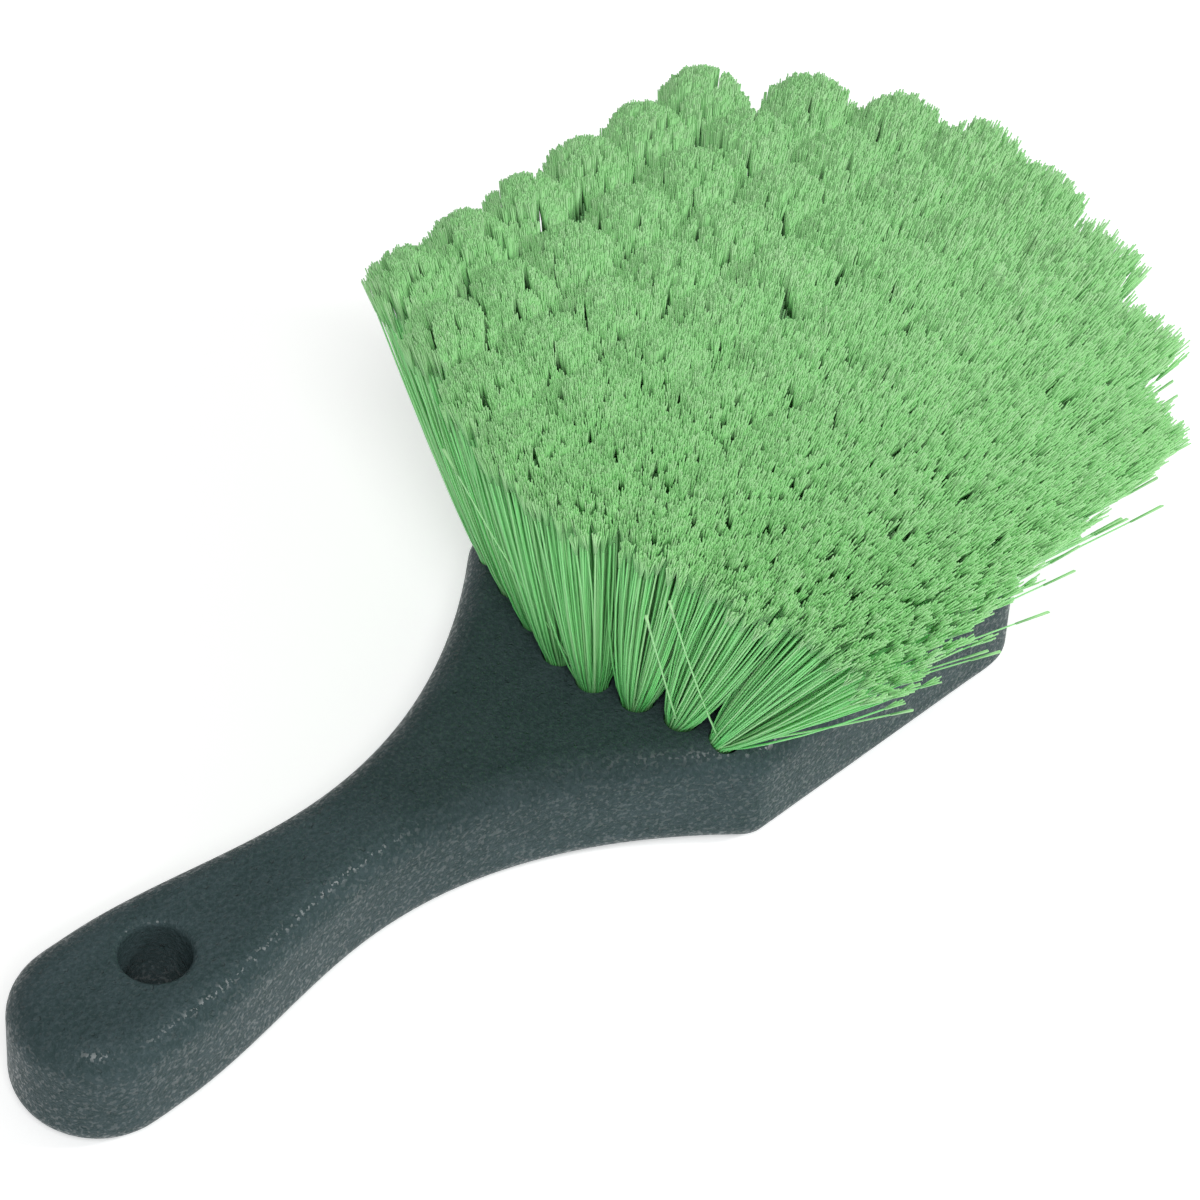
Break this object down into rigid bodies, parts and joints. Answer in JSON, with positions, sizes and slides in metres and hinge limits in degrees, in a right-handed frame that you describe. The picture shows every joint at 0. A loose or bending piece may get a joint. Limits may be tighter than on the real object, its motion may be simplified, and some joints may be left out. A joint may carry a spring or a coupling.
{
  "type": "wheel brush",
  "caption": "Short-handled wheel and fender brush: a one-piece foam-moulded block with a round hang hole, staple-set with rows of flared green bristle tufts.",
  "frame": {"origin": "on the block's flat back, under the middle of the head, on the centre line", "axes": "+X from the handle to the head, along the brush; +Y to the left of it; +Z from the flat back to the bristle tips"},
  "size_m": [0.2621, 0.1365, 0.0906],
  "materials": {
    "foam_plastic": "black structural foam, finely pitted and swirled, satin on worn edges",
    "green_filament": "extruded crimp-free filament with flagged tips, satin",
    "anchor_wire": "flat galvanised anchor wire"
  },
  "bodies": {
    "root": {"handle_block": "foam_plastic", "bristle_tuft_c1_1": "green_filament", "bristle_tuft_c1_2": "green_filament", "bristle_tuft_c1_3": "green_filament", "bristle_tuft_c1_4": "green_filament", "bristle_tuft_c1_5": "green_filament", "bristle_tuft_c1_6": "green_filament", "bristle_tuft_c2_1": "green_filament", "bristle_tuft_c2_2": "green_filament", "bristle_tuft_c2_3": "green_filament", "bristle_tuft_c2_4": "green_filament", "bristle_tuft_c2_5": "green_filament", "bristle_tuft_c2_6": "green_filament", "bristle_tuft_c2_7": "green_filament", "bristle_tuft_c3_1": "green_filament", "bristle_tuft_c3_2": "green_filament", "bristle_tuft_c3_3": "green_filament", "bristle_tuft_c3_4": "green_filament", "bristle_tuft_c3_5": "green_filament", "bristle_tuft_c3_6": "green_filament", "bristle_tuft_c3_7": "green_filament", "bristle_tuft_c3_8": "green_filament", "bristle_tuft_c4_1": "green_filament", "bristle_tuft_c4_2": "green_filament", "bristle_tuft_c4_3": "green_filament", "bristle_tuft_c4_4": "green_filament", "bristle_tuft_c4_5": "green_filament", "bristle_tuft_c4_6": "green_filament", "bristle_tuft_c4_7": "green_filament", "bristle_tuft_c4_8": "green_filament", "bristle_tuft_c5_1": "green_filament", "bristle_tuft_c5_2": "green_filament", "bristle_tuft_c5_3": "green_filament", "bristle_tuft_c5_4": "green_filament", "bristle_tuft_c5_5": "green_filament", "bristle_tuft_c5_6": "green_filament", "bristle_tuft_c5_7": "green_filament", "bristle_tuft_c5_8": "green_filament", "bristle_tuft_c6_1": "green_filament", "bristle_tuft_c6_2": "green_filament", "bristle_tuft_c6_3": "green_filament", "bristle_tuft_c6_4": "green_filament", "bristle_tuft_c6_5": "green_filament", "bristle_tuft_c6_6": "green_filament", "bristle_tuft_c6_7": "green_filament", "bristle_tuft_c6_8": "green_filament", "bristle_tuft_c7_1": "green_filament", "bristle_tuft_c7_2": "green_filament", "bristle_tuft_c7_3": "green_filament", "bristle_tuft_c7_4": "green_filament", "bristle_tuft_c7_5": "green_filament", "bristle_tuft_c7_6": "green_filament", "bristle_tuft_c7_7": "green_filament", "bristle_tuft_c8_1": "green_filament", "bristle_tuft_c8_2": "green_filament", "bristle_tuft_c8_3": "green_filament", "bristle_tuft_c8_4": "green_filament", "bristle_tuft_c8_5": "green_filament", "bristle_tuft_c8_6": "green_filament"}
  },
  "joints": []
}
